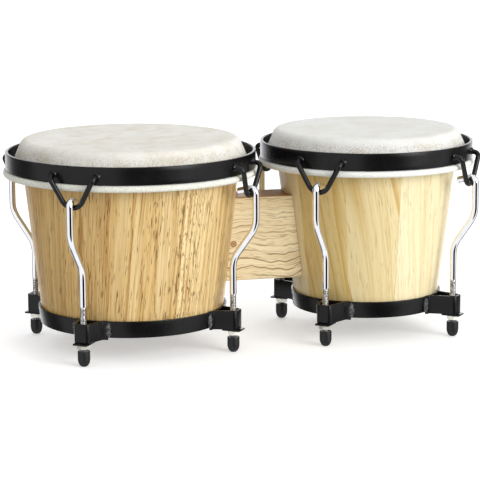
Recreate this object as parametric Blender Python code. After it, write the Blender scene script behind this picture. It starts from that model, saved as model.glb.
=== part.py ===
"""Pair of hand-played bongo drums: two tapered wooden shells joined by a wooden centre block.

Units are metres and +Z is up. The large drum is on the -X side and the small drum on the +X side.
The origin is the centre of the footprint's box, in the plane of the eight rubber rod tips.
Each drum's head is pulled over the shell's edge by a counterhoop, four wire loops, four hooked rods
and four nuts, which pull against the brackets of a steel ring at the shell's foot.
"""

import math

import bmesh
import bpy
from mathutils import Vector

# Frame
AXIS_SPACING = 0.2138
GAP = 0.0003

# The two drums: radii that differ from one to the other
DRUMS = {
    "large": {
        "shell_top": 0.0929,
        "shell_foot": 0.0794,
        "edge": 0.0884,
        "hoop": 0.1076,
        "roll": 0.1100,
        "loop_top": 0.1132,
        "rod_upper": 0.1163,
        "rod_lower": 0.0950,
        "lug_turn": 6.6,
        "block_side": 0.0,
    },
    "small": {
        "shell_top": 0.0790,
        "shell_foot": 0.0645,
        "edge": 0.0762,
        "hoop": 0.0940,
        "roll": 0.0958,
        "loop_top": 0.0990,
        "rod_upper": 0.1039,
        "rod_lower": 0.0840,
        "lug_turn": 2.0,
        "block_side": 180.0,
    },
}
LUGS = {"front_left": 225.0, "front_right": 315.0, "back_right": 45.0, "back_left": 135.0}

# Shell: its outer side is a cone through shell_foot at FOOT_Z and shell_top at BAND_Z
FOOT_Z = 0.0365
BAND_Z = 0.1550
SHELL_BOTTOM_Z = 0.0235
SHELL_WALL = 0.0100
SHELL_SHOULDER_Z = 0.1690
EDGE_CENTRE_Z = 0.1740
EDGE_RADIUS = 0.0050
EDGE_LAND = 0.0006
EDGE_CHAMFER = 0.0036
EDGE_ROUND_END = math.radians(5.0)

# Head: a skin over the shell's edge, down a sloping collar, and rolled round the flesh hoop
SKIN = 0.0016
SKIN_OVER_EDGE = 0.0004
COLLAR_LEAN = math.radians(67.1)
COLLAR_MIDDLE_Z = 0.1640
ROLL_TOP_Z = 0.1552
ROLL_BOTTOM_Z = 0.1497
ROLL_SKIN = 0.0012
ROLL_CORNER = 0.0016
ROLL_SLIT = 0.0009
FLESH_CLEARANCE = 0.0004

# Counterhoop
HOOP_WALL = 0.0025
HOOP_BOTTOM_Z = ROLL_TOP_Z + GAP
HOOP_TOP_Z = 0.1705
HOOP_CHAMFER = 0.0005
HOOP_INSIDE_COLLAR = 0.0012

# Wire loops welded to the counterhoop
WIRE_RADIUS = 0.0022
LOOP_HALF_ANGLE = math.radians(29.5)
LOOP_TOP_Z = 0.1612
LOOP_STUB_RISE = 0.0012
LOOP_BOTTOM_Z = 0.1366
LOOP_BOTTOM_BEND = 0.0103
LOOP_ELBOW_BEND = 0.0042

# Hooked tension rods
ROD_RADIUS = 0.0030
THREAD_RADIUS = 0.0027
THREAD_TOP_Z = 0.0510
HOOK_BEND = 0.0045
HOOK_BEND_Z = 0.1380
HOOK_TURN = math.radians(105.0)
HOOK_REACH = 0.0157
UPPER_CRANK_Z = 0.1098
LOWER_CRANK_Z = 0.0808
CRANK_BEND = 0.0240
ROD_BOTTOM_Z = 0.0040

# Foot ring and its strap brackets
RING_WALL = 0.0020
RING_BOTTOM_Z = 0.0221
STRAP_WALL = 0.0023
STRAP_BOTTOM_Z = 0.0207
STRAP_TOP_Z = 0.0370
STRAP_FACE = 0.00475
STRAP_HALF_FACE = 0.0055
STRAP_CORNER = 0.0032
STRAP_LEG_FOOT = 0.0105
STRAP_LEG_BEND = 0.0025
STRAP_FLANGE_END = 0.0155
STRAP_SINK = 0.0002

# Washer plate, nut and rubber tip under each bracket
PLATE_TOP_Z = STRAP_BOTTOM_Z - GAP
PLATE_WALL = 0.0013
PLATE_INNER = 0.0082
PLATE_OUTER = 0.0084
PLATE_HALF_WIDTH = 0.0066
PLATE_HOLE = 0.0034
NUT_TOP_Z = PLATE_TOP_Z - PLATE_WALL - GAP
NUT_HEIGHT = 0.0036
NUT_FLATS = 0.0100
TIP_TOP_Z = 0.0134
TIP_RADIUS = 0.0053
TIP_FLAT = 0.0024
TIP_ROUND_Z = 0.0056
TIP_LIP = 0.0005

# Centre block and the screws that hold the shells to it
BLOCK_DEPTH = 0.0360
BLOCK_BOTTOM_Z = 0.0530
BLOCK_TOP_Z = 0.1264
BLOCK_EDGE = 0.0008
BLOCK_BLANK = 0.1500
SEAT_TOP_Z = 0.2000
SCREW_HEIGHTS = {"lower": 0.0720, "upper": 0.1080}
SCREW_SHANK = 0.0022
SCREW_HEAD = 0.0045
SCREW_HEAD_HEIGHT = 0.0028
SCREW_POINT = 0.0040
SCREW_IN_BLOCK = 0.0200
SCREW_WASHER = 0.0060
SCREW_WASHER_WALL = 0.0010
SPOT_FACE = 0.0068
SPOT_DEPTH = 0.0012

# Mesh fineness
HOOP_STEPS = 36
SMALL_STEPS = 10
HOLE_STEPS = 12
BORE_STEPS = 16
ARC_STEPS = 3
LOOP_STEPS = 4
HOOK_STEPS = 5
WIRE_BEVEL = 1
ROD_BEVEL = 2

MATERIALS = {
    "large_shell_wood": ((0.55, 0.36, 0.15), 0.45, 0.0),
    "small_shell_wood": ((0.70, 0.55, 0.28), 0.45, 0.0),
    "block_wood": ((0.68, 0.52, 0.30), 0.55, 0.0),
    "rawhide": ((0.78, 0.76, 0.68), 0.6, 0.0),
    "black_steel": ((0.02, 0.02, 0.022), 0.4, 0.3),
    "black_wire": ((0.012, 0.012, 0.014), 0.25, 0.3),
    "chrome": ((0.75, 0.75, 0.76), 0.12, 1.0),
    "nickel": ((0.62, 0.58, 0.50), 0.3, 1.0),
    "zinc_steel": ((0.55, 0.54, 0.50), 0.35, 1.0),
    "black_rubber": ((0.015, 0.015, 0.015), 0.65, 0.0),
}


# ---------------------------------------------------------------- helpers


def clear_scene():
    for obj in list(bpy.data.objects):
        bpy.data.objects.remove(obj, do_unlink=True)


def make_materials():
    made = {}
    for name, (colour, roughness, metallic) in MATERIALS.items():
        material = bpy.data.materials.new(name)
        material.use_nodes = True
        shader = material.node_tree.nodes["Principled BSDF"]
        shader.inputs["Base Color"].default_value = (*colour, 1.0)
        shader.inputs["Roughness"].default_value = roughness
        shader.inputs["Metallic"].default_value = metallic
        made[name] = material
    return made


def add_object(name, data, material, parent=None, location=(0, 0, 0), rotation=(0, 0, 0)):
    obj = bpy.data.objects.new(name, data)
    bpy.context.scene.collection.objects.link(obj)
    obj.parent = parent
    obj.location = location
    obj.rotation_euler = rotation
    if data is not None and material is not None:
        data.materials.append(material)
    return obj


def mark_helper(obj):
    """A cutter or a shape to be joined on: it isn't a piece of the object itself."""
    obj.hide_render = True
    obj.display_type = "WIRE"


def settle(obj, sharp_degrees=35.0):
    """Turns the object's modifiers into its mesh and shades it smooth between its sharp edges."""
    bpy.context.view_layer.update()
    graph = bpy.context.evaluated_depsgraph_get()
    mesh = bpy.data.meshes.new_from_object(obj.evaluated_get(graph))
    mesh.name = obj.name
    obj.modifiers.clear()
    obj.data = mesh
    mesh.shade_smooth()
    mesh.set_sharp_from_angle(angle=math.radians(sharp_degrees))


def turned(name, outline, material, steps=HOOP_STEPS, **place):
    """Solid of revolution about its own Z axis. The outline's (radius, z) points run down its outer side.

    An outline that starts and ends on the axis is open there, and any other one is a closed loop.
    """
    count = len(outline)
    edges = [(i, i + 1) for i in range(count - 1)]
    on_axis = outline[0][0] == 0 and outline[-1][0] == 0
    if not on_axis:
        edges.append((count - 1, 0))
    mesh = bpy.data.meshes.new(name)
    mesh.from_pydata([(r, 0, z) for r, z in outline], edges, [])
    obj = add_object(name, mesh, material, **place)
    turn = obj.modifiers.new("Turn", "SCREW")
    turn.axis = "Z"
    turn.angle = math.tau
    turn.steps = steps
    turn.render_steps = steps
    turn.use_merge_vertices = True
    turn.merge_threshold = 0.00001
    turn.use_normal_calculate = False
    settle(obj)
    return obj


def prism(name, outline, bottom, top, material, **place):
    """Upright prism on a plan outline that runs anticlockwise seen from above."""
    form = bmesh.new()
    face = form.faces.new([form.verts.new((x, y, bottom)) for x, y in outline])
    raised = bmesh.ops.extrude_face_region(form, geom=[face])
    lifted = [v for v in raised["geom"] if isinstance(v, bmesh.types.BMVert)]
    bmesh.ops.translate(form, verts=lifted, vec=(0, 0, top - bottom))
    bmesh.ops.recalc_face_normals(form, faces=form.faces)
    mesh = bpy.data.meshes.new(name)
    form.to_mesh(mesh)
    form.free()
    return add_object(name, mesh, material, **place)


def boolean(obj, operation, other):
    cut = obj.modifiers.new(operation.title(), "BOOLEAN")
    cut.operation = operation
    cut.solver = "EXACT"
    cut.object = other
    mark_helper(other)


def arc(centre, radius, start, end, steps=ARC_STEPS):
    """Points on an arc in the plane of a turned outline, from one angle to another in radians."""
    points = []
    for i in range(steps + 1):
        angle = start + (end - start) * i / steps
        points.append((centre[0] + radius * math.cos(angle), centre[1] + radius * math.sin(angle)))
    return points


def rounded_path(corners, bends, steps=ARC_STEPS):
    """A path through the corners, each inner corner replaced by an arc of its own bend radius."""
    corners = [Vector(c) for c in corners]
    path = [corners[0]]
    for i, bend in enumerate(bends, start=1):
        back = (corners[i - 1] - corners[i]).normalized()
        ahead = (corners[i + 1] - corners[i]).normalized()
        half = back.angle(ahead) / 2
        centre = corners[i] + (back + ahead).normalized() * bend / math.sin(half)
        first = corners[i] + back * bend / math.tan(half) - centre
        last = corners[i] + ahead * bend / math.tan(half) - centre
        sweep = first.angle(last)
        for k in range(steps + 1):
            share = k / steps
            spoke = first * math.sin((1 - share) * sweep) + last * math.sin(share * sweep)
            path.append(centre + spoke / math.sin(sweep))
    path.append(corners[-1])
    return path


def band_outline(path, thickness):
    """Plan outline of a strap of this thickness along a path, anticlockwise for a path that turns left."""
    right, left = [], []
    for i, point in enumerate(path):
        before = path[max(i - 1, 0)]
        after = path[min(i + 1, len(path) - 1)]
        first = (point - before).normalized() if i else (after - point).normalized()
        second = (after - point).normalized() if i < len(path) - 1 else first
        along = (first + second).normalized()
        side = Vector((along.y, -along.x)) * (thickness / 2) / max(along.dot(first), 0.5)
        right.append(point + side)
        left.append(point - side)
    return [tuple(p) for p in right + left[::-1]]


def wire_data(name, path, radii, bevel):
    """Round wire along a path of (x, y, z) points, with 4 sides and 2 more for each step of bevel."""
    curve = bpy.data.curves.new(name, "CURVE")
    curve.dimensions = "3D"
    curve.bevel_depth = 1.0
    curve.bevel_resolution = bevel
    curve.use_fill_caps = True
    spline = curve.splines.new("POLY")
    spline.points.add(len(path) - 1)
    for point, place, radius in zip(spline.points, path, radii):
        point.co = (*place, 1.0)
        point.radius = radius
    return curve


def cone_radius(drum, z):
    """Outer radius of a drum's shell at a height."""
    slope = (drum["shell_top"] - drum["shell_foot"]) / (BAND_Z - FOOT_Z)
    return drum["shell_foot"] + slope * (z - FOOT_Z)


def lug_rotation(drum, lug):
    return (0, 0, math.radians(LUGS[lug] + drum["lug_turn"]))


def lug_place(drum, lug, radius, z=0.0):
    """Location of something at this radius from the drum's axis, beside one of its lugs."""
    angle = lug_rotation(drum, lug)[2]
    return (radius * math.cos(angle), radius * math.sin(angle), z)


# ---------------------------------------------------------------- wooden parts


def screw_face(drum, z):
    """How far from the drum's axis the screw washer's seat lies."""
    return cone_radius(drum, z) - SHELL_WALL + SPOT_DEPTH


def make_shell(side, drum, axis, material):
    outline = [
        (cone_radius(drum, SHELL_SHOULDER_Z), SHELL_SHOULDER_Z),
        (cone_radius(drum, SHELL_BOTTOM_Z), SHELL_BOTTOM_Z),
        (cone_radius(drum, SHELL_BOTTOM_Z) - SHELL_WALL, SHELL_BOTTOM_Z),
    ]
    land = drum["edge"] - EDGE_LAND
    top = EDGE_CENTRE_Z + EDGE_RADIUS
    throat = cone_radius(drum, top - EDGE_CHAMFER) - SHELL_WALL
    outline.append((throat, top - (land - throat)))
    outline.append((land, top))
    outline += arc((drum["edge"], EDGE_CENTRE_Z), EDGE_RADIUS, math.pi / 2, EDGE_ROUND_END)
    shell = turned(f"{side}_shell", outline, material, parent=axis)
    for z in SCREW_HEIGHTS.values():
        seat = screw_face(drum, z)
        bore = SCREW_SHANK + GAP
        stepped = [(0, SHELL_WALL * 2), (bore, SHELL_WALL * 2), (bore, 0), (SPOT_FACE, 0)]
        stepped += [(SPOT_FACE, -SHELL_WALL), (0, -SHELL_WALL)]
        name = f"cutter_{side}_screw_{z:.3f}"
        cutter = turned(name, stepped, None, BORE_STEPS, parent=axis, **toward_block(drum, seat, z))
        boolean(shell, "DIFFERENCE", cutter)
    settle(shell)


def toward_block(drum, radius, z):
    """Placement whose own Z axis points from the drum's axis to the centre block."""
    turn = math.radians(drum["block_side"])
    location = (radius * math.cos(turn), radius * math.sin(turn), z)
    return {"location": location, "rotation": (0, math.pi / 2, turn)}


def make_block(axes, material):
    height = BLOCK_TOP_Z - BLOCK_BOTTOM_Z
    form = bmesh.new()
    bmesh.ops.create_cube(form, size=1.0)
    bmesh.ops.scale(form, verts=form.verts, vec=(BLOCK_BLANK, BLOCK_DEPTH, height))
    mesh = bpy.data.meshes.new("centre_block")
    form.to_mesh(mesh)
    form.free()
    middle = (axes["large"].location.x + axes["small"].location.x) / 2
    block = add_object(
        "centre_block", mesh, material, location=(middle, 0, BLOCK_BOTTOM_Z + height / 2)
    )
    bevel = block.modifiers.new("Soft edges", "BEVEL")
    bevel.width = BLOCK_EDGE
    bevel.segments = 1
    for side, drum in DRUMS.items():
        seat_top, seat_foot = cone_radius(drum, SEAT_TOP_Z) + GAP, cone_radius(drum, 0) + GAP
        cone = [(0, SEAT_TOP_Z), (seat_top, SEAT_TOP_Z), (seat_foot, 0), (0, 0)]
        boolean(block, "DIFFERENCE", turned(f"cutter_{side}_seat", cone, None, parent=axes[side]))
        for z in SCREW_HEIGHTS.values():
            pilot = SCREW_SHANK + GAP
            depth = SHELL_WALL + SCREW_IN_BLOCK + GAP
            hole = [(0, depth), (pilot, depth), (pilot, 0), (0, 0)]
            place = toward_block(drum, screw_face(drum, z), z)
            name = f"cutter_{side}_pilot_{z:.3f}"
            cutter = turned(name, hole, None, BORE_STEPS, parent=axes[side], **place)
            boolean(block, "DIFFERENCE", cutter)
    settle(block)


def make_block_screws(side, drum, axis, materials):
    washer_top = -GAP
    washer_bottom = washer_top - SCREW_WASHER_WALL
    under_head = washer_bottom - GAP
    length = SHELL_WALL - SPOT_DEPTH + SCREW_IN_BLOCK
    hole = SCREW_SHANK + GAP
    washer = [(SCREW_WASHER, washer_top), (SCREW_WASHER, washer_bottom), (hole, washer_bottom)]
    washer.append((hole, washer_top))
    screw = [(0, length), (SCREW_SHANK, length - SCREW_POINT), (SCREW_SHANK, under_head)]
    screw += [(SCREW_HEAD, under_head), (SCREW_HEAD, under_head - SCREW_HEAD_HEIGHT / 2)]
    screw += [(SCREW_HEAD / 2, under_head - SCREW_HEAD_HEIGHT), (0, under_head - SCREW_HEAD_HEIGHT)]
    for height, z in SCREW_HEIGHTS.items():
        place = toward_block(drum, screw_face(drum, z), z)
        name = f"{side}_block_screw_{height}"
        turned(name, screw, materials["zinc_steel"], SMALL_STEPS, parent=axis, **place)
        name = f"{side}_screw_washer_{height}"
        turned(name, washer, materials["zinc_steel"], SMALL_STEPS, parent=axis, **place)


# ---------------------------------------------------------------- head and hoops


def collar_inner_radius(drum):
    """Radius of the head's outer surface where the collar meets the roll."""
    return drum["hoop"] - HOOP_WALL - HOOP_INSIDE_COLLAR


def make_head(side, drum, axis, material):
    centre = (drum["edge"], EDGE_CENTRE_Z)
    outer = EDGE_RADIUS + SKIN_OVER_EDGE + SKIN
    inner = EDGE_RADIUS + SKIN_OVER_EDGE
    leave = math.pi / 2 - COLLAR_LEAN
    tip_out, tip_in = collar_inner_radius(drum), collar_inner_radius(drum) - ROLL_SKIN
    over = arc(centre, outer, math.pi / 2, leave)
    under = arc(centre, inner, leave, math.pi / 2)
    out, down = math.cos(COLLAR_LEAN), math.sin(COLLAR_LEAN)
    reach = (over[-1][1] - COLLAR_MIDDLE_Z) / down
    collar = (over[-1][0] + out * reach, COLLAR_MIDDLE_Z)
    collar_in = (collar[0] - SKIN * down, collar[1] - SKIN * out)
    roll, corner = drum["roll"], ROLL_CORNER
    pocket_top, pocket_bottom = ROLL_TOP_Z - ROLL_SKIN, ROLL_BOTTOM_Z + ROLL_SKIN
    pocket_out = roll - ROLL_SKIN
    outline = [(0, over[0][1])] + over + [collar]
    # down the collar to the pocket's floor, and round the pocket to the end of the tucked skin
    outline += [(tip_out, ROLL_TOP_Z + GAP), (tip_out, pocket_bottom), (pocket_out, pocket_bottom)]
    outline += [(pocket_out, pocket_top), (tip_out + ROLL_SLIT, pocket_top)]
    # back round the outside of the roll
    outline += [(tip_out + ROLL_SLIT, ROLL_TOP_Z)]
    outline += arc((roll - corner, ROLL_TOP_Z - corner), corner, math.pi / 2, 0, 2)
    outline += arc((roll - corner, ROLL_BOTTOM_Z + corner), corner, 0, -math.pi / 2, 2)
    outline += [(tip_in + corner / 2, ROLL_BOTTOM_Z), (tip_in, ROLL_BOTTOM_Z + corner)]
    outline += [(tip_in, ROLL_TOP_Z), collar_in] + under + [(0, under[-1][1])]
    turned(f"{side}_head", outline, material, parent=axis)


def make_flesh_hoop(side, drum, axis, material):
    inner = collar_inner_radius(drum) + FLESH_CLEARANCE
    outer = drum["roll"] - ROLL_SKIN - FLESH_CLEARANCE
    bottom = ROLL_BOTTOM_Z + ROLL_SKIN + FLESH_CLEARANCE
    top = ROLL_TOP_Z - ROLL_SKIN - FLESH_CLEARANCE
    outline = [(outer, top), (outer, bottom), (inner, bottom), (inner, top)]
    turned(f"{side}_flesh_hoop", outline, material, parent=axis)


def make_counterhoop(side, drum, axis, material):
    outer, inner, soft = drum["hoop"], drum["hoop"] - HOOP_WALL, HOOP_CHAMFER
    outline = [(outer - soft, HOOP_TOP_Z), (outer, HOOP_TOP_Z - soft), (outer, HOOP_BOTTOM_Z)]
    outline += [(inner, HOOP_BOTTOM_Z), (inner, HOOP_TOP_Z - soft), (inner + soft, HOOP_TOP_Z)]
    turned(f"{side}_counterhoop", outline, material, parent=axis)


def make_wire_loops(side, drum, axis, material):
    """U-bent wires whose two ends are welded to the counterhoop. X is radial and Y is along the hoop."""
    slant = math.tan(LOOP_HALF_ANGLE)
    apex_z = LOOP_BOTTOM_Z - LOOP_BOTTOM_BEND * (1 / math.sin(LOOP_HALF_ANGLE) - 1)
    half = (LOOP_TOP_Z - apex_z) * slant
    bottom_x = drum["rod_upper"] - ROD_RADIUS - WIRE_RADIUS - GAP
    lean = (drum["loop_top"] - bottom_x) / (LOOP_TOP_Z - LOOP_BOTTOM_Z)
    apex_x = bottom_x - lean * (LOOP_BOTTOM_Z - apex_z)
    stub_x = math.sqrt((drum["hoop"] + GAP) ** 2 - (half - WIRE_RADIUS) ** 2)
    corners = [
        (stub_x, -half, LOOP_TOP_Z + LOOP_STUB_RISE),
        (drum["loop_top"], -half, LOOP_TOP_Z),
        (apex_x, 0, apex_z),
        (drum["loop_top"], half, LOOP_TOP_Z),
        (stub_x, half, LOOP_TOP_Z + LOOP_STUB_RISE),
    ]
    path = rounded_path(corners, [LOOP_ELBOW_BEND, LOOP_BOTTOM_BEND, LOOP_ELBOW_BEND], LOOP_STEPS)
    data = wire_data(f"{side}_wire_loop", path, [WIRE_RADIUS] * len(path), WIRE_BEVEL)
    data.materials.append(material)
    for lug in LUGS:
        add_object(f"{side}_wire_loop_{lug}", data, None, axis, rotation=lug_rotation(drum, lug))


# ---------------------------------------------------------------- tension rods and their feet


def make_rods(side, drum, axis, material):
    """Hooked, cranked rods. X is radial from the drum's axis."""
    upper, lower = drum["rod_upper"], drum["rod_lower"]
    bend_x = upper - HOOK_BEND
    hook = [(x, 0, z) for x, z in arc((bend_x, HOOK_BEND_Z), HOOK_BEND, HOOK_TURN, 0, HOOK_STEPS)]
    leave_x, _, leave_z = hook[0]
    end_x = upper - HOOK_REACH
    end_z = leave_z - (leave_x - end_x) * math.tan(HOOK_TURN - math.pi / 2)
    corners = [(upper, 0, HOOK_BEND_Z), (upper, 0, UPPER_CRANK_Z), (lower, 0, LOWER_CRANK_Z)]
    corners.append((lower, 0, THREAD_TOP_Z))
    crank = rounded_path(corners, [CRANK_BEND, CRANK_BEND])
    thread_start = THREAD_TOP_Z - (ROD_RADIUS - THREAD_RADIUS)
    thread = [(lower, 0, thread_start), (lower, 0, ROD_BOTTOM_Z)]
    plain = [(end_x, 0, end_z)] + hook + crank[1:]
    radii = [ROD_RADIUS] * len(plain) + [THREAD_RADIUS] * len(thread)
    data = wire_data(f"{side}_tension_rod", plain + thread, radii, ROD_BEVEL)
    data.materials.append(material)
    for lug in LUGS:
        add_object(f"{side}_tension_rod_{lug}", data, None, axis, rotation=lug_rotation(drum, lug))


def make_foot_ring(side, drum, axis, material):
    inner_top = cone_radius(drum, FOOT_Z) + GAP
    inner_bottom = cone_radius(drum, RING_BOTTOM_Z) + GAP
    outline = [(inner_top + RING_WALL, FOOT_Z), (inner_bottom + RING_WALL, RING_BOTTOM_Z)]
    outline += [(inner_bottom, RING_BOTTOM_Z), (inner_top, FOOT_Z)]
    ring = turned(f"{side}_foot_ring", outline, material, parent=axis)
    flange = inner_top + RING_WALL - STRAP_SINK
    face = drum["rod_lower"] + STRAP_FACE
    half_path = []
    for run in (STRAP_FLANGE_END, STRAP_LEG_FOOT):
        half_path.append((flange * math.cos(run / flange), flange * math.sin(run / flange)))
    half_path.append((face, STRAP_HALF_FACE))
    corners = [(x, -y) for x, y in half_path] + half_path[::-1]
    bends = [STRAP_LEG_BEND, STRAP_CORNER, STRAP_CORNER, STRAP_LEG_BEND]
    outline = band_outline(rounded_path(corners, bends, 3), STRAP_WALL)
    for lug in LUGS:
        strap = prism(
            f"strap_{side}_{lug}", outline, STRAP_BOTTOM_Z, STRAP_TOP_Z, None,
            parent=axis, rotation=lug_rotation(drum, lug),
        )
        boolean(ring, "UNION", strap)
    settle(ring)


def make_washer_plates(side, drum, axis, material):
    """Flat plates with a hole for the rod, under the brackets."""
    outline = [(PLATE_OUTER, -PLATE_HALF_WIDTH), (PLATE_OUTER, PLATE_HALF_WIDTH)]
    outline += [(-PLATE_INNER, PLATE_HALF_WIDTH), (-PLATE_INNER, -PLATE_HALF_WIDTH)]
    hole = [(0, PLATE_TOP_Z + GAP), (PLATE_HOLE, PLATE_TOP_Z + GAP)]
    hole += [(PLATE_HOLE, PLATE_TOP_Z - PLATE_WALL - GAP), (0, PLATE_TOP_Z - PLATE_WALL - GAP)]
    for lug in LUGS:
        place = {"parent": axis, "rotation": lug_rotation(drum, lug)}
        place["location"] = lug_place(drum, lug, drum["rod_lower"])
        bottom = PLATE_TOP_Z - PLATE_WALL
        plate = prism(f"{side}_washer_plate_{lug}", outline, bottom, PLATE_TOP_Z, material, **place)
        cutter = turned(f"cutter_{side}_plate_{lug}", hole, None, HOLE_STEPS, **place)
        boolean(plate, "DIFFERENCE", cutter)
        settle(plate)


def make_nuts(side, drum, axis, material):
    corner = NUT_FLATS / 2 / math.cos(math.pi / 6)
    outline = [(corner * math.cos(math.tau * i / 6), corner * math.sin(math.tau * i / 6)) for i in range(6)]
    bore = THREAD_RADIUS + GAP
    hole = [(0, GAP), (bore, GAP), (bore, -NUT_HEIGHT - GAP), (0, -NUT_HEIGHT - GAP)]
    for lug in LUGS:
        place = {"parent": axis, "rotation": lug_rotation(drum, lug)}
        place["location"] = lug_place(drum, lug, drum["rod_lower"], NUT_TOP_Z)
        nut = prism(f"{side}_nut_{lug}", outline, -NUT_HEIGHT, 0, material, **place)
        cutter = turned(f"cutter_{side}_nut_{lug}", hole, None, HOLE_STEPS, **place)
        boolean(nut, "DIFFERENCE", cutter)
        settle(nut)


def make_rubber_tips(side, drum, axis, material):
    socket, floor = THREAD_RADIUS + GAP, ROD_BOTTOM_Z - GAP
    outline = [(TIP_RADIUS - TIP_LIP, TIP_TOP_Z), (TIP_RADIUS, TIP_TOP_Z - TIP_LIP)]
    for i in range(ARC_STEPS + 1):
        angle = math.pi / 2 * i / ARC_STEPS
        radius = TIP_FLAT + (TIP_RADIUS - TIP_FLAT) * math.cos(angle)
        outline.append((radius, TIP_ROUND_Z * (1 - math.sin(angle))))
    outline = [(0, floor), (socket, floor), (socket, TIP_TOP_Z)] + outline + [(0, 0)]
    for lug in LUGS:
        location = lug_place(drum, lug, drum["rod_lower"])
        name = f"{side}_rubber_tip_{lug}"
        turned(name, outline, material, SMALL_STEPS, parent=axis, location=location)


# ---------------------------------------------------------------- assembly


def main():
    clear_scene()
    materials = make_materials()
    length = DRUMS["large"]["roll"] + AXIS_SPACING + DRUMS["small"]["roll"]
    axis_x = {
        "large": DRUMS["large"]["roll"] - length / 2,
        "small": length / 2 - DRUMS["small"]["roll"],
    }
    axes = {}
    for side in DRUMS:
        axes[side] = add_object(f"{side}_drum_axis", None, None, location=(axis_x[side], 0, 0))
    for side, drum in DRUMS.items():
        axis = axes[side]
        make_shell(side, drum, axis, materials[f"{side}_shell_wood"])
        make_head(side, drum, axis, materials["rawhide"])
        make_flesh_hoop(side, drum, axis, materials["zinc_steel"])
        make_counterhoop(side, drum, axis, materials["black_steel"])
        make_wire_loops(side, drum, axis, materials["black_wire"])
        make_rods(side, drum, axis, materials["chrome"])
        make_foot_ring(side, drum, axis, materials["black_steel"])
        make_washer_plates(side, drum, axis, materials["black_steel"])
        make_nuts(side, drum, axis, materials["nickel"])
        make_rubber_tips(side, drum, axis, materials["black_rubber"])
        make_block_screws(side, drum, axis, materials)
    make_block(axes, materials["block_wood"])


main()
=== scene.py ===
"""Looks of a pair of bongo drums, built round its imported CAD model.

Units are metres and +Z is up. Each drum's pieces are made about the drum's own axis. A lug's pieces are made
with +X pointing outwards from that axis, +Y along the hoop, and are then turned to the lug's direction.
"""

import math  # noqa: E402
from types import SimpleNamespace  # noqa: E402

import bmesh  # noqa: E402
import bpy  # noqa: E402
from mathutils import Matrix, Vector, noise  # noqa: E402


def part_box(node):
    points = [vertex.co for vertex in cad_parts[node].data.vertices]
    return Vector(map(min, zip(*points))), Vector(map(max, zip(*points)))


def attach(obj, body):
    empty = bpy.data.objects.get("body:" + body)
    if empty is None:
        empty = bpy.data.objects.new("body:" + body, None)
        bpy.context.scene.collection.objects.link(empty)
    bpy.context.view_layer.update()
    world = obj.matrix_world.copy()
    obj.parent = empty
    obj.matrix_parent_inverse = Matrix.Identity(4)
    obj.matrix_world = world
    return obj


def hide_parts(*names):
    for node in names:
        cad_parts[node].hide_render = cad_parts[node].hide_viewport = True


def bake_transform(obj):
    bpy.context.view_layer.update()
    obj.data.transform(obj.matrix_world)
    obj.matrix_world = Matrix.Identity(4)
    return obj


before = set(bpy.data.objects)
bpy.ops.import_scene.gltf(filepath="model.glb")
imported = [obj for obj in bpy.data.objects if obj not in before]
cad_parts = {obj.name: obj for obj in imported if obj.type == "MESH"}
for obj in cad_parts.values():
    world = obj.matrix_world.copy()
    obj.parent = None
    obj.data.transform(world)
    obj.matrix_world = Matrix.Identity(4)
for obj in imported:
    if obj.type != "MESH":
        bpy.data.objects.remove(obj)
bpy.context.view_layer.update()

SIDES = ("large", "small")
LUGS = ("front_left", "front_right", "back_right", "back_left")
GAP = 0.0003  # between touching meshes
PAST = 0.001  # how far a cutter reaches past a face
ROUND_STEPS = 192
QUARTER = math.pi / 2
SHARP = 40.0  # degrees between faces past which an edge stays sharp
BAR_SIDES = 20

# Shell and bearing edge
SHELL_WALL = 0.0100
SHELL_FOOT_ROUND = 0.0012
EDGE_RADIUS = 0.0050
EDGE_LAND = 0.0006
EDGE_CHAMFER = 0.0036
EDGE_INSET = {"large": 0.0884, "small": 0.0762}
STAVES = {"large": 9, "small": 10}
STAVE_SHIFT = {9: 0.25, 10: 0.61}  # of a stave, by the number of staves
# Each shell's palette, grain lean, seed, strength of grain and, on the large shell, place of the pores.
SHELL_WOODS = {
    "large": (((0.85, 0.68, 0.37), (0.66, 0.445, 0.175), (0.37, 0.18, 0.045), (0.15, 0.07, 0.02),
               (0.70, 0.42, 0.11)), (-0.02, -0.16), 0.75, 1.07, math.radians(-69.0)),
    "small": (((0.94, 0.85, 0.58), (0.84, 0.70, 0.38), (0.58, 0.35, 0.07), (0.34, 0.18, 0.06),
               (0.64, 0.44, 0.09)), (0.06, 0.24), 0.78, 0.45),
}
# Each skin's white, how strongly its warm patches show, and the two colours of its roll. The small skin's
# roll colours are lifted to near pure white, a painted brightness standing in for light where the hoop shades
# the roll.
HIDE_COLOURS = {
    "large": ((0.82, 0.81, 0.755), 0.42, ((0.87, 0.88, 0.81), (0.72, 0.73, 0.63))),
    "small": ((0.83, 0.833, 0.805), 0.12, ((1.0, 1.0, 0.97), (0.92, 0.93, 0.87))),
}

BLOCK_EDGE_ROUND = 0.0011
BLOCK_MESH = 0.0040
SCREW_BORE = 0.0025
WASHER_SPOT = 0.0068
WASHER_OUT = 0.0060
WASHER_THICK = 0.0012
SCREW_THREAD = (0.0021, 0.0014)
SCREW_PITCH = 0.0014

# Hide
SKIN = 0.0016
SKIN_OVER_EDGE = 0.0004
COLLAR_LEAN = math.radians(67.1)
COLLAR_MIDDLE_Z = 0.1640
ROLL_SKIN = 0.0012
ROLL_SLIT = 0.0009
ROLL_BULGE = 0.0026
HOOP_INSIDE_COLLAR = 0.0012
COLLAR_RIPPLE = 0.00022

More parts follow.
